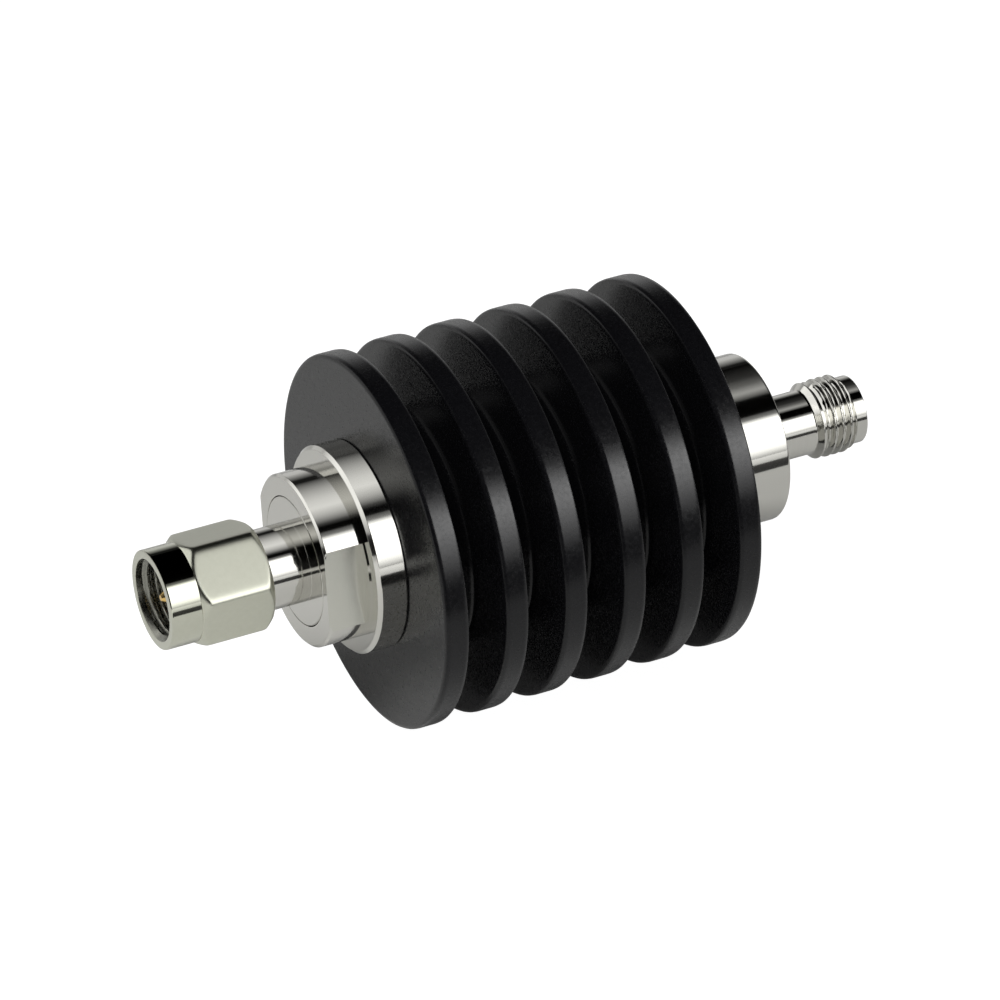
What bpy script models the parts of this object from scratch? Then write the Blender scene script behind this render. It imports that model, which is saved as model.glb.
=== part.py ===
# Coaxial fixed attenuator: screw-on plug at one end, threaded socket at the other,
# and a finned aluminium heat sink round a steel body that holds the resistor chip.
# Metres, +Z up, axis along X with the plug at -X. It lies on the rims of its fins.

import math

import bmesh
import bpy
from mathutils import Matrix, Vector

MM = 0.001

# Facets of every turned piece; a flat facet points straight down
SIDES = 48
FULL_TURN = 2 * math.pi

# Heat sink
FIN_COUNT = 6
FIN_DIAMETER = 30.0 * MM
FIN_THICKNESS = 2.0 * MM
FIN_PITCH = 5.0 * MM
FIN_EDGE = 0.25 * MM
CORE_DIAMETER = 19.0 * MM

# Body: flanged sleeve through the heat sink, with a spanner cap in front
SLEEVE_DIAMETER = 13.6 * MM
SLEEVE_TAIL = 6.9 * MM
SLEEVE_BORE = 10.4 * MM
FLANGE_DIAMETER = 16.6 * MM
FLANGE_THICKNESS = 2.4 * MM
CAP_DIAMETER = 13.8 * MM
CAP_LENGTH = 3.3 * MM
CAP_FLATS = 12.0 * MM
CAP_COLLAR = 0.1 * MM
BODY_EDGE = 0.2 * MM

# Plug shell: press-in disc, neck, journal for the nut, and the outer contact
INSERT_LENGTH = 8.0 * MM
NECK_DIAMETER = 6.4 * MM
NECK_LENGTH = 3.3 * MM
JOURNAL_DIAMETER = 5.5 * MM
JOURNAL_LENGTH = 3.9 * MM
PLUG_DIAMETER = 4.59 * MM
PLUG_LENGTH = 2.0 * MM
LINE_BORE = 4.1 * MM
CONTACT_EDGE = 0.1 * MM

# Coupling nut
NUT_FLATS = 8.0 * MM
NUT_HEX_LENGTH = 6.0 * MM
NUT_CHAMFER_DIAMETER = 8.0 * MM
NOSE_DIAMETER = 7.9 * MM
NOSE_LENGTH = 2.5 * MM
NOSE_EDGE = 0.15 * MM
NUT_TURN = math.radians(20.0)
MOUTH_DIAMETER = 6.6 * MM
MOUTH_DEPTH = 0.45 * MM
THREAD_MINOR = 5.75 * MM
RELIEF_DIAMETER = 6.5 * MM
RELIEF_SPACE = 0.2 * MM
NUT_WEB = 3.5 * MM

# Snap ring that holds the nut, and the washer it clamps on
RING_WIDTH = 0.5 * MM
RING_HEIGHT = 0.5 * MM
RING_DEPTH = 0.3 * MM
RING_GAP = math.radians(36.0)
GASKET_THICKNESS = 0.6 * MM
GASKET_WIDTH = 0.75 * MM

# Line through the plug
PIN_DIAMETER = 0.914 * MM
PIN_REACH = 2.0 * MM
PIN_TIP = 0.35 * MM
CONDUCTOR_DIAMETER = 1.27 * MM
CONDUCTOR_TAIL = 1.1 * MM
TAB_SLOT_DEPTH = 0.8 * MM

# Socket shell
SOCKET_NECK_DIAMETER = 5.3 * MM
SOCKET_NECK_LENGTH = 4.0 * MM
THREAD_DIAMETER = 6.3 * MM
THREAD_LENGTH = 4.2 * MM
THREAD_COLLAR = 0.5 * MM
THREAD_RELIEF = 0.45 * MM
THREAD_RELIEF_DEPTH = 0.35 * MM
PILOT_DIAMETER = 5.5 * MM
PILOT_LENGTH = 0.95 * MM
SOCKET_BORE = 4.6 * MM
SOCKET_DEPTH = 1.95 * MM
CONTACT_BORE = 0.94 * MM
CONTACT_BORE_DEPTH = 2.6 * MM
CONTACT_SLOT = 0.2 * MM
CONTACT_SLOT_DEPTH = 1.9 * MM

# Chip and the split carrier that clamps it
CHIP_LENGTH = 10.0 * MM
CHIP_WIDTH = 4.0 * MM
CHIP_THICKNESS = 1.0 * MM
CHIP_SUNK = 0.3 * MM
CHANNEL_SIDE = 0.15 * MM
CHANNEL_HEIGHT = 2.0 * MM
TAB_WIDTH = 1.0 * MM
TAB_THICKNESS = 0.2 * MM
TAB_LAP = 1.2 * MM
SCREW_DIAMETER = 1.0 * MM
SCREW_LENGTH = 3.6 * MM
SCREW_IN_BASE = 1.26 * MM
SCREW_HEAD_DIAMETER = 1.8 * MM
SCREW_HEAD_HEIGHT = 0.7 * MM
SCREW_SLOT = 0.3 * MM
SCREW_SLOT_DEPTH = 0.3 * MM
SCREW_END_SPACE = 3.0 * MM
SCREW_SIDE_WALL = 0.35 * MM

# Clearances, and how far a cutter runs past what it cuts
SEAT = 0.05 * MM
PRESS_GAP = 0.04 * MM
NUT_RUNNING = 0.08 * MM
NUT_FLOAT = 0.1 * MM
MERGE = 0.1e-6
CUT_PAST = 0.2 * MM

# Places along the axis, from the front face of the first fin
sink_length = (FIN_COUNT - 1) * FIN_PITCH + FIN_THICKNESS
flange_back = -SEAT
flange_front = flange_back - FLANGE_THICKNESS
cap_front = flange_front - CAP_LENGTH
sleeve_end = sink_length + SLEEVE_TAIL
neck_front = cap_front - NECK_LENGTH
shoulder = neck_front - JOURNAL_LENGTH
plug_front = shoulder - PLUG_LENGTH
plug_insert_end = cap_front + INSERT_LENGTH
nut_back = neck_front - NUT_FLOAT
nut_hex_front = nut_back - NUT_HEX_LENGTH
nut_front = nut_hex_front - NOSE_LENGTH
nut_web_front = nut_back - NUT_WEB
ring_middle = (nut_web_front + nut_back) / 2
socket_insert_end = sleeve_end - INSERT_LENGTH
thread_start = sleeve_end + SOCKET_NECK_LENGTH
thread_end = thread_start + THREAD_LENGTH
socket_front = thread_end + PILOT_LENGTH
socket_plane = socket_front - SOCKET_DEPTH
carrier_front = plug_insert_end + SEAT
carrier_back = socket_insert_end - SEAT
carrier_middle = (carrier_front + carrier_back) / 2

# Heights inside the carrier, from the axis
chip_top = -TAB_THICKNESS / 2 - SEAT
chip_bottom = chip_top - CHIP_THICKNESS
split_height = chip_bottom + CHIP_SUNK
channel_half = CHIP_WIDTH / 2 + CHANNEL_SIDE
screw_side = channel_half + SCREW_SIDE_WALL + SCREW_HEAD_DIAMETER / 2
screw_seat = split_height + SCREW_LENGTH - SCREW_IN_BASE

insert_radius = SLEEVE_BORE / 2 - PRESS_GAP
dielectric_radius = LINE_BORE / 2 - PRESS_GAP
carrier_radius = SLEEVE_BORE / 2 - SEAT
conductor_radius = CONDUCTOR_DIAMETER / 2
core_hole_radius = conductor_radius + PRESS_GAP


def clear_scene():
    for old in list(bpy.data.objects):
        bpy.data.objects.remove(old, do_unlink=True)


def make_material(name, color, roughness, metallic):
    material = bpy.data.materials.new(name)
    material.use_nodes = True
    shader = material.node_tree.nodes["Principled BSDF"]
    shader.inputs["Base Color"].default_value = (*color, 1.0)
    shader.inputs["Roughness"].default_value = roughness
    shader.inputs["Metallic"].default_value = metallic
    return material


def add_object(name, bm, parent, material=None):
    bmesh.ops.recalc_face_normals(bm, faces=bm.faces)
    mesh = bpy.data.meshes.new(name)
    bm.to_mesh(mesh)
    bm.free()
    mesh.shade_smooth()
    mesh.set_sharp_from_angle(angle=math.radians(30.0))
    if material:
        mesh.materials.append(material)
    obj = bpy.data.objects.new(name, mesh)
    bpy.context.scene.collection.objects.link(obj)
    obj.parent = parent
    return obj


def turned(outline, sides=SIDES, start=None, sweep=FULL_TURN):
    """Turn a closed outline of (x, radius) points about the X axis."""
    if start is None:
        start = FULL_TURN / sides / 2
    bm = bmesh.new()
    out = Vector((0.0, math.sin(start), -math.cos(start)))
    ring = [bm.verts.new(Vector((x, 0.0, 0.0)) + out * radius) for x, radius in outline]
    edges = []
    for here, there in zip(ring, ring[1:] + ring[:1]):
        on_axis = here.co.yz.length < MERGE and there.co.yz.length < MERGE
        if not on_axis:
            edges.append(bm.edges.new((here, there)))
    whole = sweep == FULL_TURN
    if not whole:
        bm.faces.new(ring)
        edges += list(bm.faces)
    bmesh.ops.spin(
        bm, geom=ring + edges, cent=(0, 0, 0), axis=(1, 0, 0), angle=sweep,
        steps=sides, use_merge=whole, use_duplicate=False,
    )
    bmesh.ops.remove_doubles(bm, verts=bm.verts, dist=MERGE)
    return bm


def block(low, high):
    """A box between two corners."""
    bm = bmesh.new()
    bmesh.ops.create_cube(bm, size=1.0)
    low, high = Vector(low), Vector(high)
    size = high - low
    bm.transform(Matrix.Translation((low + high) / 2) @ Matrix.Diagonal((*size, 1.0)))
    return bm


def cut(obj, cutter, operation="DIFFERENCE"):
    """Cut obj by a cutter that stays hidden."""
    cutter.hide_render = True
    cutter.display_type = "WIRE"
    modifier = obj.modifiers.new(cutter.name, "BOOLEAN")
    modifier.operation = operation
    modifier.solver = "EXACT"
    modifier.object = cutter


def add_heat_sink(parent):
    """Six round fins and their core, turned from one bar."""
    bore = SLEEVE_DIAMETER / 2 + PRESS_GAP
    fin, core = FIN_DIAMETER / 2, CORE_DIAMETER / 2
    outline = [(0.0, bore)]
    for index in range(FIN_COUNT):
        front = index * FIN_PITCH
        back = front + FIN_THICKNESS
        if index:
            outline.append((front, core))
        outline += [(front, fin - FIN_EDGE), (front + FIN_EDGE, fin)]
        outline += [(back - FIN_EDGE, fin), (back, fin - FIN_EDGE)]
        if index < FIN_COUNT - 1:
            outline.append((back, core))
    outline.append((sink_length, bore))
    black = make_material("black_anodised", (0.012, 0.012, 0.013), 0.42, 0.0)
    return add_object("heat_sink", turned(outline), parent, black)


def add_body_sleeve(parent, steel):
    """Sleeve, flange and cap in one, with two spanner flats on the cap."""
    bore, cap, flange = SLEEVE_BORE / 2, CAP_DIAMETER / 2, FLANGE_DIAMETER / 2
    sleeve = SLEEVE_DIAMETER / 2
    outline = [
        (cap_front, bore), (cap_front, cap - BODY_EDGE), (cap_front + BODY_EDGE, cap),
        (flange_front, cap), (flange_front, flange - BODY_EDGE),
        (flange_front + BODY_EDGE, flange), (flange_back, flange), (flange_back, sleeve),
        (sleeve_end - BODY_EDGE, sleeve), (sleeve_end, sleeve - BODY_EDGE), (sleeve_end, bore),
    ]
    body = add_object("body_sleeve", turned(outline), parent, steel)
    for side in (-1, 1):
        near, far = side * CAP_FLATS / 2, side * CAP_DIAMETER
        low = (cap_front - BODY_EDGE, min(near, far), -CAP_DIAMETER)
        high = (flange_front - CAP_COLLAR, max(near, far), CAP_DIAMETER)
        cut(body, add_object(f"flat_cutter_{side}", block(low, high), parent))
    return body


def ring_groove(inner, outer):
    """Four points of the groove for the snap ring, from its front to its back."""
    half = RING_WIDTH / 2 + SEAT
    front, back = ring_middle - half, ring_middle + half
    return [(front, outer), (front, inner), (back, inner), (back, outer)]


def add_male_shell(parent, steel):
    """Outer contact, journal with ring groove, neck, and disc pressed in the sleeve."""
    plug, journal, neck = PLUG_DIAMETER / 2, JOURNAL_DIAMETER / 2, NECK_DIAMETER / 2
    bore = LINE_BORE / 2
    outline = [
        (plug_front, bore), (plug_front, plug - CONTACT_EDGE),
        (plug_front + CONTACT_EDGE, plug), (shoulder, plug), (shoulder, journal),
        *ring_groove(journal - RING_DEPTH, journal),
        (neck_front, journal), (neck_front, neck), (cap_front, neck),
        (cap_front, insert_radius), (plug_insert_end, insert_radius), (plug_insert_end, bore),
    ]
    return add_object("male_shell", turned(outline), parent, steel)


def add_coupling_nut(parent, steel):
    """Hexagon nut with a round nose, threaded inside, free to turn on the journal."""
    nose, blank = NOSE_DIAMETER / 2, NUT_CHAMFER_DIAMETER / 2
    corner = NUT_FLATS / math.sqrt(3) + SEAT
    chamfer = corner - blank
    web = JOURNAL_DIAMETER / 2 + NUT_RUNNING
    groove = JOURNAL_DIAMETER / 2 - RING_DEPTH + RING_HEIGHT + 2 * NUT_RUNNING
    relief, minor, mouth = RELIEF_DIAMETER / 2, THREAD_MINOR / 2, MOUTH_DIAMETER / 2
    thread_back = shoulder - SEAT - GASKET_THICKNESS - RELIEF_SPACE
    mouth_back = nut_front + MOUTH_DEPTH
    outline = [
        (nut_front, mouth), (nut_front, nose - NOSE_EDGE), (nut_front + NOSE_EDGE, nose),
        (nut_hex_front, nose), (nut_hex_front, blank), (nut_hex_front + chamfer, corner),
        (nut_back - chamfer, corner), (nut_back, blank), (nut_back, web),
        *reversed(ring_groove(groove, web)),
        (nut_web_front, web), (nut_web_front, relief), (thread_back, relief),
        (thread_back, minor), (mouth_back + mouth - minor, minor), (mouth_back, mouth),
    ]
    nut = add_object("coupling_nut", turned(outline), parent, steel)
    margin = NOSE_LENGTH
    bar = [
        (nut_front - margin, 0.0), (nut_front - margin, NUT_FLATS / math.sqrt(3)),
        (nut_back + margin, NUT_FLATS / math.sqrt(3)), (nut_back + margin, 0.0),
    ]
    hexagon = add_object("hexagon_bar", turned(bar, 6, NUT_TURN), parent)
    cut(nut, hexagon, "INTERSECT")
    return nut


def add_snap_ring(parent):
    """Open spring ring, half in the journal's groove and half in the nut's."""
    inner = JOURNAL_DIAMETER / 2 - RING_DEPTH + NUT_RUNNING
    outer = inner + RING_HEIGHT
    front, back = ring_middle - RING_WIDTH / 2, ring_middle + RING_WIDTH / 2
    outline = [(front, inner), (front, outer), (back, outer), (back, inner)]
    bronze = make_material("spring_bronze", (0.55, 0.36, 0.18), 0.3, 1.0)
    sweep = FULL_TURN - RING_GAP
    steps = round(SIDES * sweep / FULL_TURN)
    bm = turned(outline, steps, RING_GAP / 2, sweep)
    return add_object("snap_ring", bm, parent, bronze)


def add_gasket(parent):
    """Soft washer on the journal's shoulder, inside the nut."""
    inner = PLUG_DIAMETER / 2 + SEAT
    outer = inner + GASKET_WIDTH
    back = shoulder - SEAT
    front = back - GASKET_THICKNESS
    outline = [(front, inner), (front, outer), (back, outer), (back, inner)]
    rubber = make_material("silicone_rubber", (0.55, 0.10, 0.04), 0.6, 0.0)
    return add_object("nut_gasket", turned(outline), parent, rubber)


def add_dielectric(name, front, back, parent, plastic):
    """Plastic sleeve between a shell and its conductor."""
    outline = [
        (front, core_hole_radius), (front, dielectric_radius),
        (back, dielectric_radius), (back, core_hole_radius),
    ]
    return add_object(name, turned(outline), parent, plastic)


def cut_tab_slot(conductor, tail_end, inward, parent):
    """Slot across a conductor's inner end, which the tab is soldered in."""
    low_x, high_x = sorted((tail_end + inward * TAB_SLOT_DEPTH, tail_end - inward * CUT_PAST))
    half = TAB_THICKNESS / 2 + SEAT
    slot = block((low_x, -CONDUCTOR_DIAMETER, -half), (high_x, CONDUCTOR_DIAMETER, half))
    cut(conductor, add_object(f"{conductor.name}_slot_cutter", slot, parent))


def add_male_pin(parent, gold):
    """Centre pin: thin in front of the contact plane, thicker inside the plastic."""
    pin = PIN_DIAMETER / 2
    tip = plug_front - PIN_REACH
    tail = plug_insert_end + CONDUCTOR_TAIL
    outline = [
        (tip, 0.0), (tip, pin / 2), (tip + PIN_TIP, pin), (plug_front, pin),
        (plug_front, conductor_radius), (tail, conductor_radius), (tail, 0.0),
    ]
    obj = add_object("male_pin", turned(outline, SIDES // 2), parent, gold)
    cut_tab_slot(obj, tail, -1, parent)
    return obj


def add_female_shell(parent, steel):
    """Disc pressed in the sleeve, neck, collar, threaded barrel and plain pilot."""
    neck, thread = SOCKET_NECK_DIAMETER / 2, THREAD_DIAMETER / 2
    pilot, socket, bore = PILOT_DIAMETER / 2, SOCKET_BORE / 2, LINE_BORE / 2
    collar_front = thread_start + thread - neck
    relief_start = collar_front + THREAD_COLLAR
    relief_end = relief_start + THREAD_RELIEF
    relief = thread - THREAD_RELIEF_DEPTH
    outline = [
        (socket_insert_end, bore), (socket_insert_end, insert_radius),
        (sleeve_end, insert_radius), (sleeve_end, neck), (thread_start, neck),
        (collar_front, thread), (relief_start, thread), (relief_start, relief),
        (relief_end, relief), (relief_end, thread), (thread_end - thread + pilot, thread),
        (thread_end, pilot), (socket_front - CONTACT_EDGE, pilot),
        (socket_front, pilot - CONTACT_EDGE), (socket_front, socket),
        (socket_plane, socket), (socket_plane, bore),
    ]
    return add_object("female_shell", turned(outline), parent, steel)


def add_female_contact(parent, gold):
    """Centre contact: a bored end slit in four, which grips the mating pin."""
    bore = CONTACT_BORE / 2
    tail = socket_insert_end - CONDUCTOR_TAIL
    bottom = socket_plane - CONTACT_BORE_DEPTH
    outline = [
        (tail, 0.0), (tail, conductor_radius), (socket_plane, conductor_radius),
        (socket_plane, bore), (bottom, bore), (bottom, 0.0),
    ]
    obj = add_object("female_contact", turned(outline, SIDES // 2), parent, gold)
    cut_tab_slot(obj, tail, 1, parent)
    low_x, high_x = socket_plane - CONTACT_SLOT_DEPTH, socket_plane + CUT_PAST
    long, thin = CONDUCTOR_DIAMETER, CONTACT_SLOT / 2
    for name, half_y, half_z in (("flat", long, thin), ("upright", thin, long)):
        slit = block((low_x, -half_y, -half_z), (high_x, half_y, half_z))
        cut(obj, add_object(f"contact_{name}_slit_cutter", slit, parent))
    return obj


def screw_places():
    """Where the four cover screws stand, as (x, y)."""
    reach = (carrier_back - carrier_front) / 2 - SCREW_END_SPACE
    return [
        (carrier_middle + end * reach, side * screw_side)
        for end in (-1, 1) for side in (-1, 1)
    ]


def upright(name, outline, place, parent, material=None):
    """A turned piece stood up along Z at place, with the outline's x as its height."""
    obj = add_object(name, turned(outline, SIDES // 2), parent, material)
    obj.rotation_euler = (0.0, -math.pi / 2, 0.0)
    obj.location = (*place, 0.0)
    return obj


def add_carrier(parent):
    """Split copper rod that clamps the chip: base with a pocket, cover with a channel."""
    copper = make_material("copper", (0.72, 0.36, 0.22), 0.35, 1.0)
    bar = [
        (carrier_front, 0.0), (carrier_front, carrier_radius),
        (carrier_back, carrier_radius), (carrier_back, 0.0),
    ]
    past_x = (carrier_front - CUT_PAST, carrier_back + CUT_PAST)
    wide = SLEEVE_BORE
    base = add_object("carrier_base", turned(bar), parent, copper)
    cover = add_object("carrier_cover", turned(bar), parent, copper)
    above = block((past_x[0], -wide, split_height - SEAT), (past_x[1], wide, wide))
    below = block((past_x[0], -wide, -wide), (past_x[1], wide, split_height))
    cut(base, add_object("base_top_cutter", above, parent))
    cut(cover, add_object("cover_bottom_cutter", below, parent))
    half = CHIP_LENGTH / 2 + CHANNEL_SIDE
    pocket = block(
        (carrier_middle - half, -channel_half, chip_bottom - SEAT),
        (carrier_middle + half, channel_half, split_height + SEAT),
    )
    cut(base, add_object("pocket_cutter", pocket, parent))
    channel = block(
        (past_x[0], -channel_half, split_height - SEAT),
        (past_x[1], channel_half, CHANNEL_HEIGHT),
    )
    cut(cover, add_object("channel_cutter", channel, parent))
    hole = SCREW_DIAMETER / 2 + SEAT
    well = SCREW_HEAD_DIAMETER / 2 + SEAT
    bottom = screw_seat - SCREW_LENGTH - SEAT * 2
    hole_outline = [
        (bottom, 0.0), (bottom, hole), (screw_seat - SEAT, hole),
        (screw_seat - SEAT, well), (wide, well), (wide, 0.0),
    ]
    for index, place in enumerate(screw_places(), 1):
        cutter = upright(f"screw_hole_cutter_{index}", hole_outline, place, parent)
        cut(base, cutter)
        cut(cover, cutter)
    return base, cover


def add_cover_screws(parent, steel):
    """Four small slotted screws that close the carrier."""
    shank, head = SCREW_DIAMETER / 2, SCREW_HEAD_DIAMETER / 2
    top = screw_seat + SCREW_HEAD_HEIGHT
    outline = [
        (screw_seat - SCREW_LENGTH, 0.0), (screw_seat - SCREW_LENGTH, shank),
        (screw_seat, shank), (screw_seat, head), (top, head), (top, 0.0),
    ]
    for index, place in enumerate(screw_places(), 1):
        screw = upright(f"cover_screw_{index}", outline, place, parent, steel)
        slot = block(
            (place[0] - head * 2, place[1] - SCREW_SLOT / 2, top - SCREW_SLOT_DEPTH),
            (place[0] + head * 2, place[1] + SCREW_SLOT / 2, top + CUT_PAST),
        )
        cut(screw, add_object(f"screw_slot_cutter_{index}", slot, parent))


def add_chip_and_tabs(parent, gold):
    """Ceramic chip with its resistor film, and the tab soldered to each end."""
    ceramic = make_material("chip_ceramic", (0.80, 0.80, 0.76), 0.4, 0.0)
    chip = block(
        (carrier_middle - CHIP_LENGTH / 2, -CHIP_WIDTH / 2, chip_bottom),
        (carrier_middle + CHIP_LENGTH / 2, CHIP_WIDTH / 2, chip_top),
    )
    add_object("attenuator_chip", chip, parent, ceramic)
    into_slot = TAB_SLOT_DEPTH - SEAT
    from_pin = plug_insert_end + CONDUCTOR_TAIL - into_slot
    to_contact = socket_insert_end - CONDUCTOR_TAIL + into_slot
    on_chip = CHIP_LENGTH / 2 - TAB_LAP
    tabs = {
        "input_tab": (from_pin, carrier_middle - on_chip),
        "output_tab": (carrier_middle + on_chip, to_contact),
    }
    for name, (start, end) in tabs.items():
        tab = block(
            (start, -TAB_WIDTH / 2, -TAB_THICKNESS / 2),
            (end, TAB_WIDTH / 2, TAB_THICKNESS / 2),
        )
        add_object(name, tab, parent, gold)


def build():
    clear_scene()
    axis = bpy.data.objects.new("line_axis", None)
    bpy.context.scene.collection.objects.link(axis)
    lowest_facet = FIN_DIAMETER / 2 * math.cos(math.pi / SIDES)
    axis.location = (-(nut_front + socket_front) / 2, 0.0, lowest_facet)
    steel = make_material("passivated_steel", (0.62, 0.61, 0.57), 0.12, 1.0)
    gold = make_material("gold_plate", (0.83, 0.62, 0.28), 0.2, 1.0)
    plastic = make_material("ptfe", (0.88, 0.88, 0.85), 0.45, 0.0)
    add_heat_sink(axis)
    add_body_sleeve(axis, steel)
    add_male_shell(axis, steel)
    add_coupling_nut(axis, steel)
    add_snap_ring(axis)
    add_gasket(axis)
    add_dielectric("male_dielectric", plug_front + SEAT, plug_insert_end, axis, plastic)
    add_male_pin(axis, gold)
    add_female_shell(axis, steel)
    add_dielectric("female_dielectric", socket_insert_end, socket_plane - SEAT, axis, plastic)
    add_female_contact(axis, gold)
    add_carrier(axis)
    add_cover_screws(axis, steel)
    add_chip_and_tabs(axis, gold)


build()
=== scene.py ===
import math

import bmesh
import bpy
import numpy as np
from mathutils import Matrix, Vector


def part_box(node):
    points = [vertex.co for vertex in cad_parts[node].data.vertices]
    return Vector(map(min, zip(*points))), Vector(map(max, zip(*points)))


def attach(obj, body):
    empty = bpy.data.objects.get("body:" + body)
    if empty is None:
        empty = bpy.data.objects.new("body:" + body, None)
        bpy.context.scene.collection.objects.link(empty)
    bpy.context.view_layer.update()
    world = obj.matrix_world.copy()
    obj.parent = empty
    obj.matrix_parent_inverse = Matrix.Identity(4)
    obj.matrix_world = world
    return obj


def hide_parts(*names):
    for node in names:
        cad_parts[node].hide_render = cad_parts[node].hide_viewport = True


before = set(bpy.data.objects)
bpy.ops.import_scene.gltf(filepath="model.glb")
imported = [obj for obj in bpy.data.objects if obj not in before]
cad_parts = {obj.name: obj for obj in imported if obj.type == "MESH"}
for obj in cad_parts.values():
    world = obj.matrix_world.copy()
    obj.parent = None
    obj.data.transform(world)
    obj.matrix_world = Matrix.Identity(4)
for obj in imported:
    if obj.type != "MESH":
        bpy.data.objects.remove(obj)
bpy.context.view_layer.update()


# Body: one turned piece of stainless steel that holds all the others. Its sleeve runs
# through the fins, its flange stops them, and the cap in front of the flange has two
# milled flats for a 12 mm spanner.
MM = 0.001
SLEEVE_RADIUS = 6.8
SLEEVE_END = 33.9
SLEEVE_BORE = 5.2
FLANGE_RADIUS = 8.3
FLANGE_BACK = -0.05
FLANGE_FRONT = -2.45
CAP_RADIUS = 6.9
CAP_FRONT = -5.75
CAP_FLAT = 6.0
CAP_COLLAR = 0.1
CAP_CHAMFER = 0.2
FLANGE_CHAMFER = 0.28
CHAMFER_SOFT = 0.03
FLANGE_BACK_EDGE = 0.1
TAIL_EDGE = 0.2
SEAM_EDGE = 0.11

# The turned pieces share one line. It runs along X through the middle of the heat sink,
# and lengths along it are counted in mm from the front face of the first fin, minus
# towards the plug.
sink_low, sink_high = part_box("heat_sink")
LINE = Vector((sink_low.x, 0.0, (sink_low.z + sink_high.z) / 2))

SIDES = 256
EASE_STEPS = 4
EASE_HOLD = 1.2
MERGE = 0.0001
SHARP = math.radians(24.0)


def eased(outline):
    """The outline with each corner (x, radius, ease) drawn as a short curve.

    A point just outside each end of the curve keeps the shading flat up to there.
    """
    points = []
    count = len(outline)
    for index, corner in enumerate(outline):
        here = Vector(corner[:2])
        if len(corner) == 2:
            points.append(here)
            continue
        before = Vector(outline[index - 1][:2])
        after = Vector(outline[(index + 1) % count][:2])
        back = (before - here).normalized() * corner[2]
        onward = (after - here).normalized() * corner[2]
        points.append(here + back * EASE_HOLD)
        for step in range(EASE_STEPS + 1):
            t = step / EASE_STEPS
            points.append(here + back * (1 - t) ** 2 + onward * t * t)
        points.append(here + onward * EASE_HOLD)
    return points


def finished(name, bm):
    """The mesh as an object, smooth but for its true edges."""
    mesh = bpy.data.meshes.new(name)
    bm.to_mesh(mesh)
    bm.free()
    mesh.shade_smooth()
    mesh.set_sharp_from_angle(angle=SHARP)
    made = bpy.data.objects.new(name, mesh)
    bpy.context.scene.collection.objects.link(made)
    return made


def turned(name, outline, reshape=None, angles=None):
    """A closed outline of (x, radius) in mm, turned about the line.

    Angles run from straight up towards the camera's side. reshape(x, radius, angle)
    gives the radius where a flat, a hexagon or a thread departs from round.
    """
    points = np.array([tuple(p) for p in eased(outline)])
    if angles is None:
        angles = np.arange(SIDES) * 2 * math.pi / SIDES
    rows, columns = len(points), len(angles)
    x = np.repeat(points[:, :1], columns, axis=1)
    radius = np.repeat(points[:, 1:], columns, axis=1)
    angle = np.repeat(angles[None, :], rows, axis=0)
    if reshape:
        radius = reshape(x, radius, angle)
    place = np.stack([x, -radius * np.sin(angle), radius * np.cos(angle)], axis=2)
    bm = bmesh.new()
    grid = [[bm.verts.new(Vector(p) * MM + LINE) for p in row] for row in place]
    for row in range(rows):
        below = grid[row - 1]
        above = grid[row]
        for column in range(columns):
            bm.faces.new((below[column - 1], below[column], above[column], above[column - 1]))
    bmesh.ops.remove_doubles(bm, verts=bm.verts, dist=MERGE * MM)
    bmesh.ops.recalc_face_normals(bm, faces=bm.faces)
    return finished(name, bm)


def linear(hex_colour):
    """An sRGB hex colour as the linear values that a socket takes."""
    parts = [int(hex_colour[i:i + 2], 16) / 255 for i in (1, 3, 5)]
    return (*[c / 12.92 if c <= 0.04045 else ((c + 0.055) / 1.055) ** 2.4 for c in parts], 1.0)


def node(tree, kind, inputs=None, **settings):
    """Add a node; inputs are values, or sockets to link from."""
    made = tree.nodes.new(kind)
    for key, value in settings.items():
        setattr(made, key, value)
    for key, value in (inputs or {}).items():
        if isinstance(value, bpy.types.NodeSocket):
            tree.links.new(value, made.inputs[key])
        else:
            made.inputs[key].default_value = value
    return made


def material(name, **sockets):
    """A new material, its node tree and its shader with the given sockets set."""
    made = bpy.data.materials.new(name)
    made.use_nodes = True
    tree = made.node_tree
    shader = tree.nodes["Principled BSDF"]
    for key, value in sockets.items():
        shader.inputs[key.replace("_", " ")].default_value = value
    return made, tree, shader


def lathe_marks(tree, spacing):
    """Height of the fine rings that a turning tool leaves, spacing in mm.

    They follow the distance along the line and from it, so they run round every face.
    """
    place = node(tree, "ShaderNodeNewGeometry").outputs["Position"]
    local = node(tree, "ShaderNodeVectorMath", {0: place, 1: LINE}, operation="SUBTRACT")
    apart = node(tree, "ShaderNodeSeparateXYZ", {0: local.outputs[0]})
    across = node(tree, "ShaderNodeCombineXYZ", {"Y": apart.outputs["Y"], "Z": apart.outputs["Z"]})
    radius = node(tree, "ShaderNodeVectorMath", {0: across.outputs[0]}, operation="LENGTH")
    rings = node(tree, "ShaderNodeCombineXYZ", {"X": apart.outputs["X"], "Y": radius.outputs["Value"]})
    return node(tree, "ShaderNodeTexNoise", {
        "Vector": rings.outputs[0], "Scale": 1 / (spacing * MM), "Detail": 2.0,
    }).outputs["Fac"]


def even_grain(tree, size):
    """Height of an even grain that follows the piece, size in mm."""
    place = node(tree, "ShaderNodeTexCoord").outputs["Object"]
    return node(tree, "ShaderNodeTexNoise", {
        "Vector": place, "Scale": 1 / (size * MM), "Detail": 3.0, "Roughness": 0.6,
    }).outputs["Fac"]


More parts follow.
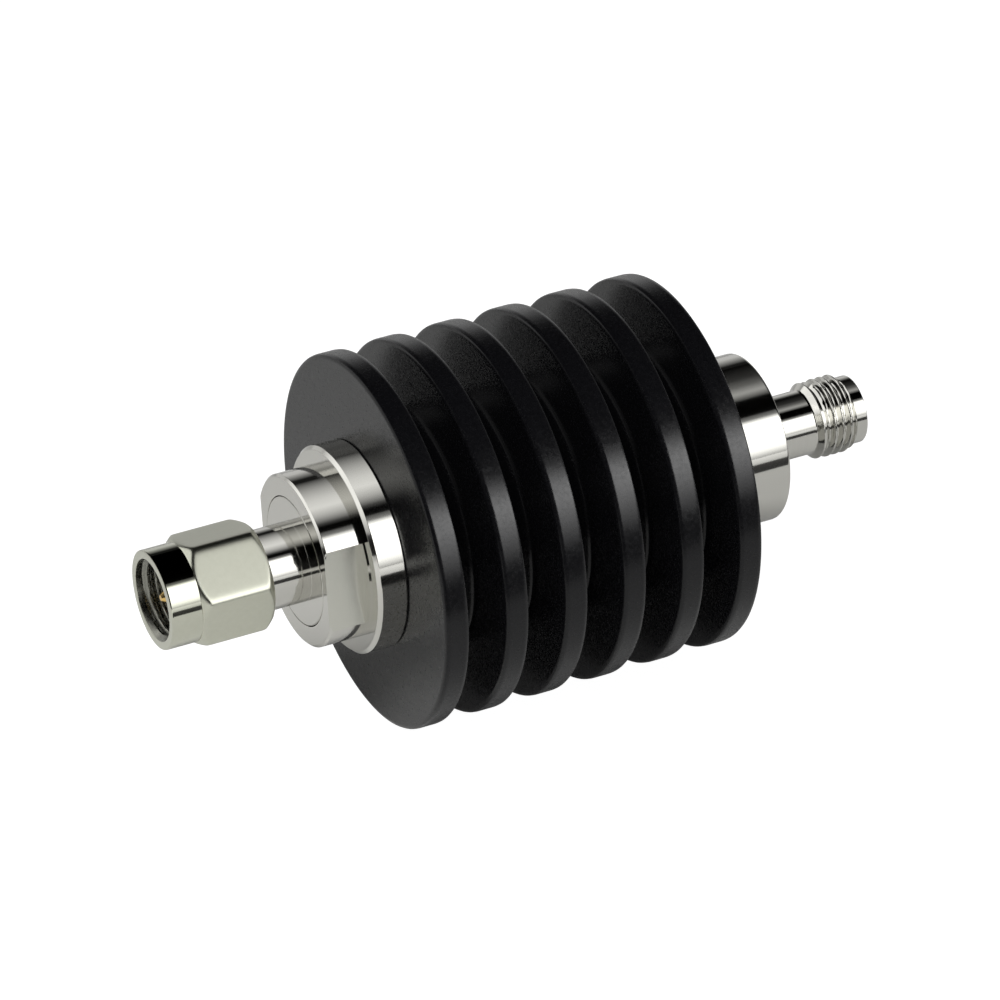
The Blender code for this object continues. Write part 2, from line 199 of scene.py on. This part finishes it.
def vary_finish(tree, shader, marks, colours, roughness):
    """Let marks vary the finish between two hex colours and between two roughnesses.

    Nearly all of such marks lie between 0.3 and 0.7, so that range gives the whole change
    of roughness.
    """
    tint = node(tree, "ShaderNodeMix", {
        "Factor": marks, "A": linear(colours[0]), "B": linear(colours[1]),
    }, data_type="RGBA")
    dullness = node(tree, "ShaderNodeMapRange", {
        "Value": marks, "From Min": 0.3, "From Max": 0.7,
        "To Min": roughness[0], "To Max": roughness[1],
    })
    tree.links.new(tint.outputs["Result"], shader.inputs["Base Color"])
    tree.links.new(dullness.outputs["Result"], shader.inputs["Roughness"])


# Stainless steel, turned, polished and passivated: bright, slightly warm, with marks
# too fine to see one by one, drawn at 0.05 mm, that draw each reflection out a little.
MARK_SPACING = 0.05
MARK_DEPTH = 0.0004
steel, tree, shader = material("polished_stainless_steel", Metallic=1.0)
marks = lathe_marks(tree, MARK_SPACING)
vary_finish(tree, shader, marks, ("#c4c3bd", "#cdccc6"), (0.05, 0.1))
relief = node(tree, "ShaderNodeBump", {"Height": marks, "Distance": MARK_DEPTH * MM, "Strength": 1.0})
tree.links.new(relief.outputs["Normal"], shader.inputs["Normal"])

# The same steel where a cutter milled it: satin, so it mirrors nothing sharply, and a
# little uneven over each 1.5 mm or so of the cutter's way
milled, tree, shader = material("milled_stainless_steel", Metallic=1.0)
vary_finish(tree, shader, even_grain(tree, 1.5), ("#c6c6bd", "#cdcdc4"), (0.2, 0.24))

collar = FLANGE_FRONT - CAP_COLLAR


def cap_flats(x, radius, angle):
    """The two flats, which stop at the collar in front of the flange."""
    flat = CAP_FLAT / np.maximum(np.abs(np.sin(angle)), MERGE)
    on_cap = (x < collar + MERGE) & (x >= CAP_FRONT - MERGE)
    outside_seam = radius > SLEEVE_BORE + 2 * SEAM_EDGE
    return np.where(on_cap & outside_seam, np.minimum(radius, flat), radius)


# The flat meets the cap's round at this angle, so the mesh has a line just there
flat_edge = math.asin(CAP_FLAT / CAP_RADIUS)
cap_angles = np.arange(SIDES) * 2 * math.pi / SIDES
for edge in (flat_edge, math.pi - flat_edge, math.pi + flat_edge, 2 * math.pi - flat_edge):
    cap_angles[np.argmin(np.abs(cap_angles - edge))] = edge
body_sleeve = turned("flanged_body_sleeve", [
    (CAP_FRONT, SLEEVE_BORE, SEAM_EDGE),
    (CAP_FRONT, CAP_RADIUS - CAP_CHAMFER, CHAMFER_SOFT),
    (CAP_FRONT + CAP_CHAMFER, CAP_RADIUS, CHAMFER_SOFT),
    (collar, CAP_RADIUS),
    (collar + 2 * MERGE, CAP_RADIUS),
    (FLANGE_FRONT, CAP_RADIUS),
    (FLANGE_FRONT, FLANGE_RADIUS - FLANGE_CHAMFER, CHAMFER_SOFT),
    (FLANGE_FRONT + FLANGE_CHAMFER, FLANGE_RADIUS, CHAMFER_SOFT),
    (FLANGE_BACK, FLANGE_RADIUS, FLANGE_BACK_EDGE),
    (FLANGE_BACK, SLEEVE_RADIUS),
    (SLEEVE_END, SLEEVE_RADIUS, TAIL_EDGE),
    (SLEEVE_END, SLEEVE_BORE, SEAM_EDGE),
], cap_flats, cap_angles)
body_sleeve.data.materials.append(steel)
body_sleeve.data.materials.append(milled)
for face in body_sleeve.data.polygons:
    on_cap = LINE.x + CAP_FRONT * MM < face.center.x < LINE.x + collar * MM
    if on_cap and abs(face.normal.y) > 1 - MERGE:
        face.material_index = 1
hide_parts("body_sleeve")
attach(body_sleeve, "body")


# Heat sink: six round fins and their core, turned from one bar of aluminium and then
# anodised black. It is pressed on the body's sleeve, and every edge of a fin is eased so
# that it takes the dye evenly.
FIN_COUNT = 6
FIN_RADIUS = (sink_high.z - sink_low.z) / 2 / MM
FIN_THICKNESS = 2.0
FIN_PITCH = ((sink_high.x - sink_low.x) / MM - FIN_THICKNESS) / (FIN_COUNT - 1)
FIN_EDGE = 0.38
CORE_RADIUS = 9.5
CORE_FILLET = 0.35
PRESS_GAP = 0.04
SINK_BORE = SLEEVE_RADIUS + PRESS_GAP

# Black anodised aluminium: a clear oxide, dyed black, on turned and etched metal. The
# dye leaves almost no colour of its own, and the sealed oxide gives a soft gloss that is
# strong at a low angle. The etched grain is about 0.3 mm and the tool marks 0.08 mm.
anodised, tree, shader = material("black_anodised_aluminium", IOR=1.34, Metallic=0.0)
etching = even_grain(tree, 0.3)
vary_finish(tree, shader, etching, ("#050506", "#0c0c0e"), (0.2, 0.3))
marks = node(tree, "ShaderNodeMath", {0: lathe_marks(tree, 0.08), 1: etching}, operation="ADD")
relief = node(tree, "ShaderNodeBump", {"Height": marks.outputs[0], "Distance": 0.003 * MM, "Strength": 1.0})
tree.links.new(relief.outputs["Normal"], shader.inputs["Normal"])

outline = [(0.0, SINK_BORE)]
for index in range(FIN_COUNT):
    front = index * FIN_PITCH
    back = front + FIN_THICKNESS
    if index:
        outline.append((front, CORE_RADIUS, CORE_FILLET))
    outline += [(front, FIN_RADIUS, FIN_EDGE), (back, FIN_RADIUS, FIN_EDGE)]
    if index < FIN_COUNT - 1:
        outline.append((back, CORE_RADIUS, CORE_FILLET))
outline.append((back, SINK_BORE))
heat_sink = turned("finned_heat_sink", outline)
heat_sink.data.materials.append(anodised)
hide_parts("heat_sink")
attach(heat_sink, "body")


# Chip and carrier: a ceramic chip with the resistor film, clamped in a copper rod that
# is split along its length and held by four screws. The rod slides in the sleeve and
# takes the heat to it. No view shows them, so they keep the shape of the solids.
def dress(name, finish):
    """Give a CAD node its finish."""
    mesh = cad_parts[name].data
    mesh.materials.clear()
    mesh.materials.append(finish)


# Copper bar, milled: warm and satin, with a grain of 0.2 mm from the cutter
copper, tree, shader = material("milled_copper", Metallic=1.0)
vary_finish(tree, shader, even_grain(tree, 0.2), ("#c4805f", "#d2916f"), (0.28, 0.42))
dress("carrier_base", copper)
dress("carrier_cover", copper)
for index in range(1, 5):
    dress(f"cover_screw_{index}", steel)

# Beryllia or alumina, fired white, with a sandy surface of 0.1 mm grit
ceramic, tree, shader = material("fired_ceramic", IOR=1.77, Metallic=0.0)
vary_finish(tree, shader, even_grain(tree, 0.1), ("#e2e0d8", "#eeece4"), (0.4, 0.6))
dress("attenuator_chip", ceramic)


# Line: the plug's pin, the socket's slit contact and their tabs to the chip, of
# beryllium copper. Each contact is pressed through a turned PTFE sleeve. They show a
# little in the two mouths, with the shape of the solids.

# Hard gold over turned metal: deep yellow, with rings that soften its gloss
gold, tree, shader = material("gold_plated_contact", Metallic=1.0)
vary_finish(tree, shader, lathe_marks(tree, MARK_SPACING), ("#d9b46a", "#e6c682"), (0.14, 0.24))
for name in ("male_pin", "female_contact", "input_tab", "output_tab"):
    dress(name, gold)

# PTFE, cut from a rod: white and waxy, with a soft, low gloss and a grain of 0.3 mm
ptfe, tree, shader = material("white_ptfe", IOR=1.38, Metallic=0.0)
vary_finish(tree, shader, even_grain(tree, 0.3), ("#e4e3dc", "#efeee8"), (0.42, 0.55))
dress("male_dielectric", ptfe)
dress("female_dielectric", ptfe)


# Plug shell: turned and polished stainless steel, with the outer contact, the journal
# for the nut, the neck, and a disc pressed in the cap. The disc's rim is the fine ring
# seam on the cap's face.
DISC_RADIUS = SLEEVE_BORE - PRESS_GAP
DISC_LENGTH = 8.0
NECK_RADIUS = 3.2
NECK_FRONT = -9.05
JOURNAL_RADIUS = 2.75
SHOULDER = -12.95
PLUG_FRONT = -14.95
PLUG_RADIUS = 2.295
LINE_BORE = 2.05
CONTACT_EDGE = 0.08
CORNER_SOFT = 0.02
RING_MIDDLE = -10.9
RING_GROOVE_WIDTH = 0.6
RING_GROOVE_RADIUS = 2.45
groove_front = RING_MIDDLE - RING_GROOVE_WIDTH / 2
groove_back = RING_MIDDLE + RING_GROOVE_WIDTH / 2
male_shell = turned("plug_shell", [
    (PLUG_FRONT, LINE_BORE),
    (PLUG_FRONT, PLUG_RADIUS, CONTACT_EDGE),
    (SHOULDER, PLUG_RADIUS),
    (SHOULDER, JOURNAL_RADIUS, CONTACT_EDGE),
    (groove_front, JOURNAL_RADIUS),
    (groove_front, RING_GROOVE_RADIUS),
    (groove_back, RING_GROOVE_RADIUS),
    (groove_back, JOURNAL_RADIUS),
    (NECK_FRONT, JOURNAL_RADIUS),
    (NECK_FRONT, NECK_RADIUS, CONTACT_EDGE),
    (CAP_FRONT, NECK_RADIUS, CORNER_SOFT),
    (CAP_FRONT, DISC_RADIUS, SEAM_EDGE),
    (CAP_FRONT + DISC_LENGTH, DISC_RADIUS),
    (CAP_FRONT + DISC_LENGTH, LINE_BORE),
])
male_shell.data.materials.append(steel)
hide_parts("male_shell")
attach(male_shell, "body")


# Snap ring and gasket: a split ring of bronze wire sits in the journal's groove and
# holds the nut, and a moulded washer lies against the shoulder behind the nut's thread.
# Both keep the shape of the solids.

# Phosphor bronze wire, drawn and left plain: brown and half bright, with 0.2 mm flecks
bronze, tree, shader = material("phosphor_bronze_wire", Metallic=1.0)
vary_finish(tree, shader, even_grain(tree, 0.2), ("#a67c4c", "#b98f5c"), (0.25, 0.38))
dress("snap_ring", bronze)

# Silicone rubber from the mould: red-brown and matt, with the mould's grain of 0.25 mm
silicone, tree, shader = material("moulded_silicone", IOR=1.43, Metallic=0.0)
vary_finish(tree, shader, even_grain(tree, 0.25), ("#a8482c", "#b65236"), (0.55, 0.7))
dress("nut_gasket", silicone)


# Coupling nut: hexagon steel bar with a turned nose and both ends chamfered, threaded
# 1/4-36 inside. The snap ring holds it on the plug shell, and it turns freely there.
NUT_BACK = -9.15
HEX_FRONT = -15.15
NUT_FRONT = -17.65
HEX_FLAT = 4.0
HEX_TURN = math.radians(20.0)
HEX_CORNER_EASE = 0.15
CHAMFER_RADIUS = 4.0
CHAMFER_EASE = 0.08
NOSE_RADIUS = 3.95
NOSE_EDGE = 0.15
MOUTH_RADIUS = 3.3
MOUTH_EDGE = 0.05
MOUTH_DEPTH = 0.45
THREAD_PITCH = 25.4 / 36
NUT_THREAD_CREST = 2.88
NUT_THREAD_DEPTH = 0.36
NUT_THREAD_BACK = -13.8
RELIEF_RADIUS = 3.25
WEB_FRONT = -12.65
WEB_RADIUS = 2.83
NUT_GROOVE_RADIUS = 3.11
# Shares of half a pitch: the flat in the thread's root, and the slope above it
ROOT_SHARE = 0.08
SLOPE_SHARE = 0.88
# A radius outside the hexagon's corners, which nut_form brings down to the bar
OUTSIDE_BAR = 5.0
HEX_STATIONS = 72
NUT_SIDES = 384
STATIONS_PER_PITCH = 16

# Stainless steel from bright hexagon bar: its flats were milled and tumbled, so they
# are duller than the turned nose, and they look pale grey rather than mirror-like. Their
# colour varies over 0.4 mm.
NOSE_ROUGHNESS = 0.07
BAR_ROUGHNESS = 0.3
FINISH_BLEND = 0.05
nut_steel, tree, shader = material("tumbled_stainless_steel", Metallic=1.0)
tint = node(tree, "ShaderNodeMix", {
    "Factor": even_grain(tree, 0.4), "A": linear("#bebfb0"), "B": linear("#c8c9bb"),
}, data_type="RGBA")
tree.links.new(tint.outputs["Result"], shader.inputs["Base Color"])
place = node(tree, "ShaderNodeNewGeometry").outputs["Position"]
hex_line = LINE.x + HEX_FRONT * MM
dullness = node(tree, "ShaderNodeMapRange", {
    "Value": node(tree, "ShaderNodeSeparateXYZ", {0: place}).outputs["X"],
    "From Min": hex_line - FINISH_BLEND * MM, "From Max": hex_line + FINISH_BLEND * MM,
    "To Min": NOSE_ROUGHNESS, "To Max": BAR_ROUGHNESS,
})
tree.links.new(dullness.outputs["Result"], shader.inputs["Roughness"])
marks = lathe_marks(tree, MARK_SPACING)
relief = node(tree, "ShaderNodeBump", {"Height": marks, "Distance": MARK_DEPTH * MM, "Strength": 1.0})
tree.links.new(relief.outputs["Normal"], shader.inputs["Normal"])

# The nut's bore as the thread tool left it: torn in specks of 0.2 mm, so it mirrors nothing sharply.
# Its colour is painted shade: darker than the outside, for the shade inside the nut's mouth.
bore_steel_painted_shade, tree, shader = material("thread_steel_painted_shade", Metallic=1.0)
vary_finish(tree, shader, even_grain(tree, 0.2), ("#82827a", "#93938a"), (0.22, 0.34))


def lower(a, b, ease):
    """The lower of two values, with the corner between them eased."""
    least = np.minimum(a, b)
    return least - ease * np.log(np.exp((least - a) / ease) + np.exp((least - b) / ease))


def hexagon(angle):
    """Radius of the hexagon bar, its corners slightly worn round."""
    sixth = math.pi / 3
    turn = np.mod(angle - HEX_TURN, sixth)
    faces = [HEX_FLAT / np.cos(turn - sixth / 2 + k * sixth) for k in (-1, 0, 1)]
    return lower(lower(faces[0], faces[1], HEX_CORNER_EASE), faces[2], HEX_CORNER_EASE)


def thread_form(x, angle, crest_place):
    """1 on the thread's crest and 0 in its root, both worn round, on a right-hand helix."""
    turn = np.mod((x - crest_place) / THREAD_PITCH + angle / (2 * math.pi), 1.0)
    ramp = np.clip((np.abs(2 * turn - 1) - ROOT_SHARE) / SLOPE_SHARE, 0.0, 1.0)
    return ramp * ramp * (3 - 2 * ramp)


def nut_form(x, radius, angle):
    """Hexagon outside with its chamfers, thread inside."""
    reach = CHAMFER_RADIUS + np.minimum(x - HEX_FRONT, NUT_BACK - x)
    bar = lower(hexagon(angle), reach, CHAMFER_EASE)
    on_bar = (radius > NOSE_RADIUS + MERGE) & (x > HEX_FRONT - MERGE)
    shaped = np.where(on_bar, bar, radius)
    thread = NUT_THREAD_CREST + NUT_THREAD_DEPTH * (1 - thread_form(x, angle, NUT_FRONT))
    on_thread = (radius < NUT_THREAD_CREST + MERGE) & (x < NUT_THREAD_BACK + MERGE)
    return np.where(on_thread, np.maximum(thread, NUT_THREAD_CREST), shaped)


mouth_back = NUT_FRONT + MOUTH_DEPTH
stations = round((NUT_THREAD_BACK - mouth_back) / THREAD_PITCH * STATIONS_PER_PITCH)
coupling_nut = turned("hexagon_coupling_nut", [
    (NUT_FRONT, MOUTH_RADIUS, MOUTH_EDGE),
    (NUT_FRONT, NOSE_RADIUS, NOSE_EDGE),
    (HEX_FRONT, NOSE_RADIUS),
    *[(float(x), OUTSIDE_BAR) for x in np.linspace(HEX_FRONT, NUT_BACK, HEX_STATIONS)],
    (NUT_BACK, WEB_RADIUS),
    (groove_back, WEB_RADIUS),
    (groove_back, NUT_GROOVE_RADIUS),
    (groove_front, NUT_GROOVE_RADIUS),
    (groove_front, WEB_RADIUS),
    (WEB_FRONT, WEB_RADIUS),
    (WEB_FRONT, RELIEF_RADIUS),
    (NUT_THREAD_BACK, RELIEF_RADIUS),
    *[(float(x), NUT_THREAD_CREST) for x in np.linspace(NUT_THREAD_BACK, mouth_back, stations)],
], nut_form, np.arange(NUT_SIDES) * 2 * math.pi / NUT_SIDES)
coupling_nut.data.materials.append(nut_steel)
coupling_nut.data.materials.append(bore_steel_painted_shade)
# The bore's faces in front of the web take the steel with the painted shade
for face in coupling_nut.data.polygons:
    from_line = (face.center - LINE).yz.length / MM
    if from_line < RELIEF_RADIUS and face.center.x < LINE.x + WEB_FRONT * MM:
        face.material_index = 1
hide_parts("coupling_nut")
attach(coupling_nut, "nut")


# Socket shell: turned and polished stainless steel, with a disc pressed in the sleeve's
# tail, a neck that opens in a cone to a collar, the relief behind the 1/4-36 thread, and
# a plain pilot in front.
NECK_END = 38.52
SOCKET_NECK_RADIUS = 2.62
NECK_SOFT = 0.1
COLLAR_START = 38.98
COLLAR_END = 39.06
COLLAR_RADIUS = 3.1
COLLAR_EDGE = 0.03
RELIEF_END = 39.35
THREAD_RELIEF_RADIUS = 2.8
THREAD_RADIUS = 3.15
THREAD_DEPTH = 0.43
THREAD_END = 42.1
PILOT_RADIUS = 2.75
SOCKET_FRONT = 43.05
SOCKET_RADIUS = 2.3
SOCKET_PLANE = 41.1
# A crest shows at this place on the thread's underside, 150 degrees round
CREST_SEEN = 39.51
CREST_ANGLE = math.radians(150.0)
crest_place = CREST_SEEN + CREST_ANGLE / (2 * math.pi) * THREAD_PITCH + THREAD_PITCH / 2


def socket_form(x, radius, angle):
    """The thread, chamfered down to the relief behind it and to the pilot in front."""
    cut = THREAD_RADIUS - THREAD_DEPTH * (1 - thread_form(x, angle, crest_place))
    chamfer = np.minimum(THREAD_RELIEF_RADIUS + (x - RELIEF_END), PILOT_RADIUS + (THREAD_END - x))
    on_thread = (x >= RELIEF_END - MERGE) & (x <= THREAD_END + MERGE) & (radius > THREAD_RADIUS - MERGE)
    return np.where(on_thread, np.minimum(cut, chamfer), radius)


stations = round((THREAD_END - RELIEF_END) / THREAD_PITCH * STATIONS_PER_PITCH)
female_shell = turned("socket_shell", [
    (SLEEVE_END - DISC_LENGTH, LINE_BORE),
    (SLEEVE_END - DISC_LENGTH, DISC_RADIUS),
    (SLEEVE_END, DISC_RADIUS, SEAM_EDGE),
    (SLEEVE_END, SOCKET_NECK_RADIUS, CONTACT_EDGE),
    (NECK_END, SOCKET_NECK_RADIUS, NECK_SOFT),
    (COLLAR_START, COLLAR_RADIUS, COLLAR_EDGE),
    (COLLAR_END, COLLAR_RADIUS, COLLAR_EDGE),
    (COLLAR_END + COLLAR_EDGE, THREAD_RELIEF_RADIUS, COLLAR_EDGE),
    *[(float(x), THREAD_RADIUS) for x in np.linspace(RELIEF_END, THREAD_END, stations)],
    (THREAD_END + 2 * MERGE, PILOT_RADIUS),
    (SOCKET_FRONT, PILOT_RADIUS, CONTACT_EDGE),
    (SOCKET_FRONT, SOCKET_RADIUS, CONTACT_EDGE),
    (SOCKET_PLANE, SOCKET_RADIUS),
    (SOCKET_PLANE, LINE_BORE),
], socket_form)
female_shell.data.materials.append(steel)
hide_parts("female_shell")
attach(female_shell, "body")


# Floor: matt white paper under a lamp. The camera sees it lifted to pure white, with a
# trace of the part's shadow left; the steel mirrors the paper itself.
def stage_sheet(name, corners, finish):
    """A flat sheet of the studio, seen by reflections and lighting but not by the camera."""
    bm = bmesh.new()
    bm.faces.new([bm.verts.new(c) for c in corners])
    made = finished(name, bm)
    made.data.materials.append(finish)
    made.visible_camera = False
    made.visible_shadow = False
    return made


FLOOR_HALF = 3.0
LIFT = 0.97
paper, tree, shader = material("pale_floor_paper", Base_Color=linear("#ebebea"), Roughness=0.9)
shaded = node(tree, "ShaderNodeBsdfDiffuse", {"Color": linear("#898989")})
lifted = node(tree, "ShaderNodeEmission", {"Color": linear("#ffffff"), "Strength": LIFT})
seen = node(tree, "ShaderNodeAddShader", {0: shaded.outputs[0], 1: lifted.outputs[0]})
rays = node(tree, "ShaderNodeLightPath")
mixed = node(tree, "ShaderNodeMixShader", {
    "Fac": rays.outputs["Is Camera Ray"], 1: shader.outputs[0], 2: seen.outputs[0],
})
tree.links.new(mixed.outputs[0], tree.nodes["Material Output"].inputs["Surface"])
floor = stage_sheet("studio_floor", [
    (-FLOOR_HALF, -FLOOR_HALF, 0.0), (FLOOR_HALF, -FLOOR_HALF, 0.0),
    (FLOOR_HALF, FLOOR_HALF, 0.0), (-FLOOR_HALF, FLOOR_HALF, 0.0),
], paper)
floor.visible_camera = True

LAMP_PLACE = Vector((-0.09, -0.11, 0.2))
lamp = bpy.data.lights.new("floor_lamp", "AREA")
lamp.size = 0.12
lamp.energy = 0.45
floor_lamp = bpy.data.objects.new("floor_lamp", lamp)
floor_lamp.location = LINE + LAMP_PLACE
floor_lamp.visible_glossy = False
bpy.context.scene.collection.objects.link(floor_lamp)


# Softboxes: glowing sheets that run along the part on the camera's side and overhead,
# and one that stands across its line at the plug's end. Places are in metres, and each
# list gives shares of a sheet's width with the strength there.
def around(angle, distance, along):
    """A point at an angle round the line, from straight up towards the camera's side."""
    a = math.radians(angle)
    return LINE + Vector((along, -distance * math.sin(a), distance * math.cos(a)))


def band(angles, distance, ends):
    """Corners of a sheet along the line, between two angles round it."""
    return [
        around(angles[0], distance, ends[0]), around(angles[0], distance, ends[1]),
        around(angles[1], distance, ends[1]), around(angles[1], distance, ends[0]),
    ]


def graded(tree, start, end, stops):
    """Strength by place between two points, from stops of (share, strength)."""
    place = node(tree, "ShaderNodeNewGeometry").outputs["Position"]
    offset = node(tree, "ShaderNodeVectorMath", {0: place, 1: start}, operation="SUBTRACT")
    along = (end - start) / (end - start).length_squared
    share = node(tree, "ShaderNodeVectorMath", {0: offset.outputs[0], 1: along}, operation="DOT_PRODUCT")
    strongest = max(value for _, value in stops)
    ramp = node(tree, "ShaderNodeValToRGB", {"Fac": share.outputs["Value"]})
    elements = ramp.color_ramp.elements
    while len(elements) < len(stops):
        elements.new(1.0)
    for element, (position, value) in zip(elements, stops):
        element.position = position
        element.color = (*(value / strongest,) * 3, 1.0)
    return ramp.outputs["Color"], strongest


def softbox(name, corners, stops, included, pieces):
    """A glowing sheet, its strength graded from its first corner to its last.

    If included, the pieces are all that it lights and all that can stand in its way.
    Otherwise it lights everything but them, and they don't stand in its way.
    """
    finish = bpy.data.materials.new(name)
    finish.use_nodes = True
    tree = finish.node_tree
    tree.nodes.clear()
    colour, strongest = graded(tree, corners[0], corners[-1], stops)
    glow = node(tree, "ShaderNodeEmission", {"Color": colour, "Strength": strongest})
    output = node(tree, "ShaderNodeOutputMaterial")
    tree.links.new(glow.outputs[0], output.inputs["Surface"])
    made = stage_sheet(name, corners, finish)
    group = bpy.data.collections.new(f"{name}_pieces")
    for piece in pieces:
        group.objects.link(piece)
    for row in group.collection_objects:
        row.light_linking.link_state = "INCLUDE" if included else "EXCLUDE"
    made.light_linking.receiver_collection = group
    made.light_linking.blocker_collection = group
    return made


# The fins have their own, brightest near its top. It starts 100 mm past the first fin,
# so that the core between the fins stays nearly dark
fin_key = softbox(
    "fin_softbox", band(angles=(46.0, 100.0), distance=0.55, ends=(0.1, 1.4)),
    [(0.0, 0.0), (0.27, 9.5), (0.48, 6.5), (0.69, 2.6), (0.92, 0.8), (1.0, 0.3)],
    included=True, pieces=[heat_sink],
)
# The key draws the white strip along all the steel, and the fins don't shade it
softbox(
    "key_softbox", band(angles=(34.0, 91.0), distance=0.62, ends=(-0.05, 1.4)),
    [(0.0, 0.1), (0.1, 0.3), (0.22, 2.6), (0.7, 2.4), (0.85, 1.7), (1.0, 0.6)],
    included=False, pieces=[heat_sink, floor, fin_key],
)
# Overhead two sheets lie end to end: the first draws the grey band on the cap, the
# flange and the plug's neck, and the second a weaker one on the tail and the socket
softbox(
    "overhead_softbox", band(angles=(-50.0, 27.0), distance=0.5, ends=(-0.3, 0.19)),
    [(0.0, 0.0), (0.2, 0.36), (0.5, 0.98), (0.63, 1.14), (0.77, 0.7), (0.93, 0.08), (1.0, 0.0)],
    included=True, pieces=[body_sleeve, male_shell],
)
softbox(
    "tail_softbox", band(angles=(-50.0, 20.0), distance=0.5, ends=(0.19, 0.3)),
    [(0.0, 0.0), (0.23, 0.02), (0.39, 0.04), (0.54, 0.16), (0.69, 0.52), (0.85, 0.0)],
    included=True, pieces=[body_sleeve, female_shell],
)
# The one at the plug's end lights the faces across the line. It lights every piece, and
# the heat sink, the body, the socket shell and the floor don't shade it
END_NEAR = LINE + Vector((-0.47, -0.145, 0.0))
END_FAR = LINE + Vector((-0.2, 0.49, 0.0))
END_LOW = Vector((0.0, 0.0, 0.12))
END_HIGH = Vector((0.0, 0.0, 0.4))
end_sheet = softbox(
    "end_softbox", [END_NEAR + END_LOW, END_FAR + END_LOW, END_FAR + END_HIGH, END_NEAR + END_HIGH],
    [(0.0, 0.5), (0.4, 1.5), (1.0, 0.9)],
    included=False, pieces=[heat_sink, floor, body_sleeve, female_shell],
)
end_sheet.light_linking.receiver_collection = None


# Cards: a black one lies on the floor, and a low white one stands at its edge nearer the
# camera. Mirrored, they are the dark line under the white strip and the strip's soft end.
CARD_NEAR = -0.046
CARD_FAR = -0.1
CARD_LOW = 0.0002
CARD_HIGH = 0.0145
CARD_START = -0.05
CARD_END = 0.4
black = material("black_card", Base_Color=linear("#050505"), Roughness=0.9)[0]
black_card = stage_sheet("black_card", [
    (CARD_START, CARD_NEAR, CARD_LOW), (CARD_END, CARD_NEAR, CARD_LOW),
    (CARD_END, CARD_FAR, CARD_LOW), (CARD_START, CARD_FAR, CARD_LOW),
], black)
black_card.visible_diffuse = False
softbox("low_card", [
    Vector((CARD_START, CARD_FAR, CARD_HIGH)), Vector((CARD_END, CARD_FAR, CARD_HIGH)),
    Vector((CARD_END, CARD_FAR, CARD_LOW)), Vector((CARD_START, CARD_FAR, CARD_LOW)),
], [(0.0, 1.25), (1.0, 0.75)], included=False, pieces=[heat_sink, floor])


# Room: the steel mirrors it pale low down on the far side, and dark above and behind the
# camera, which draws the black bands. It lights dull surfaces evenly, and the camera
# sees it plain white.
world = bpy.data.worlds.new("studio_room")
bpy.context.scene.world = world
world.use_nodes = True
tree = world.node_tree
tree.nodes.clear()
towards = node(tree, "ShaderNodeTexCoord").outputs["Generated"]
direction = node(tree, "ShaderNodeSeparateXYZ", {0: towards})
height = node(tree, "ShaderNodeMapRange", {
    "Value": direction.outputs["Z"], "From Min": 0.19, "From Max": 0.5, "To Min": 1.0, "To Max": 0.02,
})
far_side = node(tree, "ShaderNodeMapRange", {
    "Value": direction.outputs["Y"], "From Min": -0.3, "From Max": 0.1, "To Min": 0.02, "To Max": 0.88,
})
wall = node(tree, "ShaderNodeMath", {
    0: height.outputs["Result"], 1: far_side.outputs["Result"],
}, operation="MULTIPLY")
rays = node(tree, "ShaderNodeLightPath")
even = node(tree, "ShaderNodeMix", {
    "Factor": rays.outputs["Is Diffuse Ray"], "A": wall.outputs["Value"], "B": 1.02,
})
backdrop = node(tree, "ShaderNodeMix", {
    "Factor": rays.outputs["Is Camera Ray"], "A": even.outputs["Result"], "B": 1.0,
})
background = node(tree, "ShaderNodeBackground", {"Strength": backdrop.outputs["Result"]})
output = node(tree, "ShaderNodeOutputWorld")
tree.links.new(background.outputs[0], output.inputs["Surface"])


# Camera: the photo's view, from the plug's side and slightly above. Its place and its
# turn were fitted to the rims of the six fins, in mm from the first fin's front face.
CAMERA_PLACE = Vector((-153.99, -365.91, 211.69))
CAMERA_RIGHT = Vector((0.89777, -0.43731, -0.05273))
CAMERA_UP = Vector((0.24605, 0.39858, 0.88350))
FOCAL_LENGTH = 209.91
SENSOR_WIDTH = 36.0
CLIP_START = 0.01
lens = bpy.data.cameras.new("photo_camera")
lens.sensor_width = SENSOR_WIDTH
lens.lens = FOCAL_LENGTH
lens.clip_start = CLIP_START
camera = bpy.data.objects.new("photo_camera", lens)
bpy.context.scene.collection.objects.link(camera)
away = CAMERA_RIGHT.cross(CAMERA_UP)
turn = Matrix((CAMERA_RIGHT, CAMERA_UP, away)).transposed()
camera.matrix_world = Matrix.Translation(LINE + CAMERA_PLACE * MM) @ turn.to_4x4()
bpy.context.scene.camera = camera
bpy.context.scene.view_settings.view_transform = "Standard"
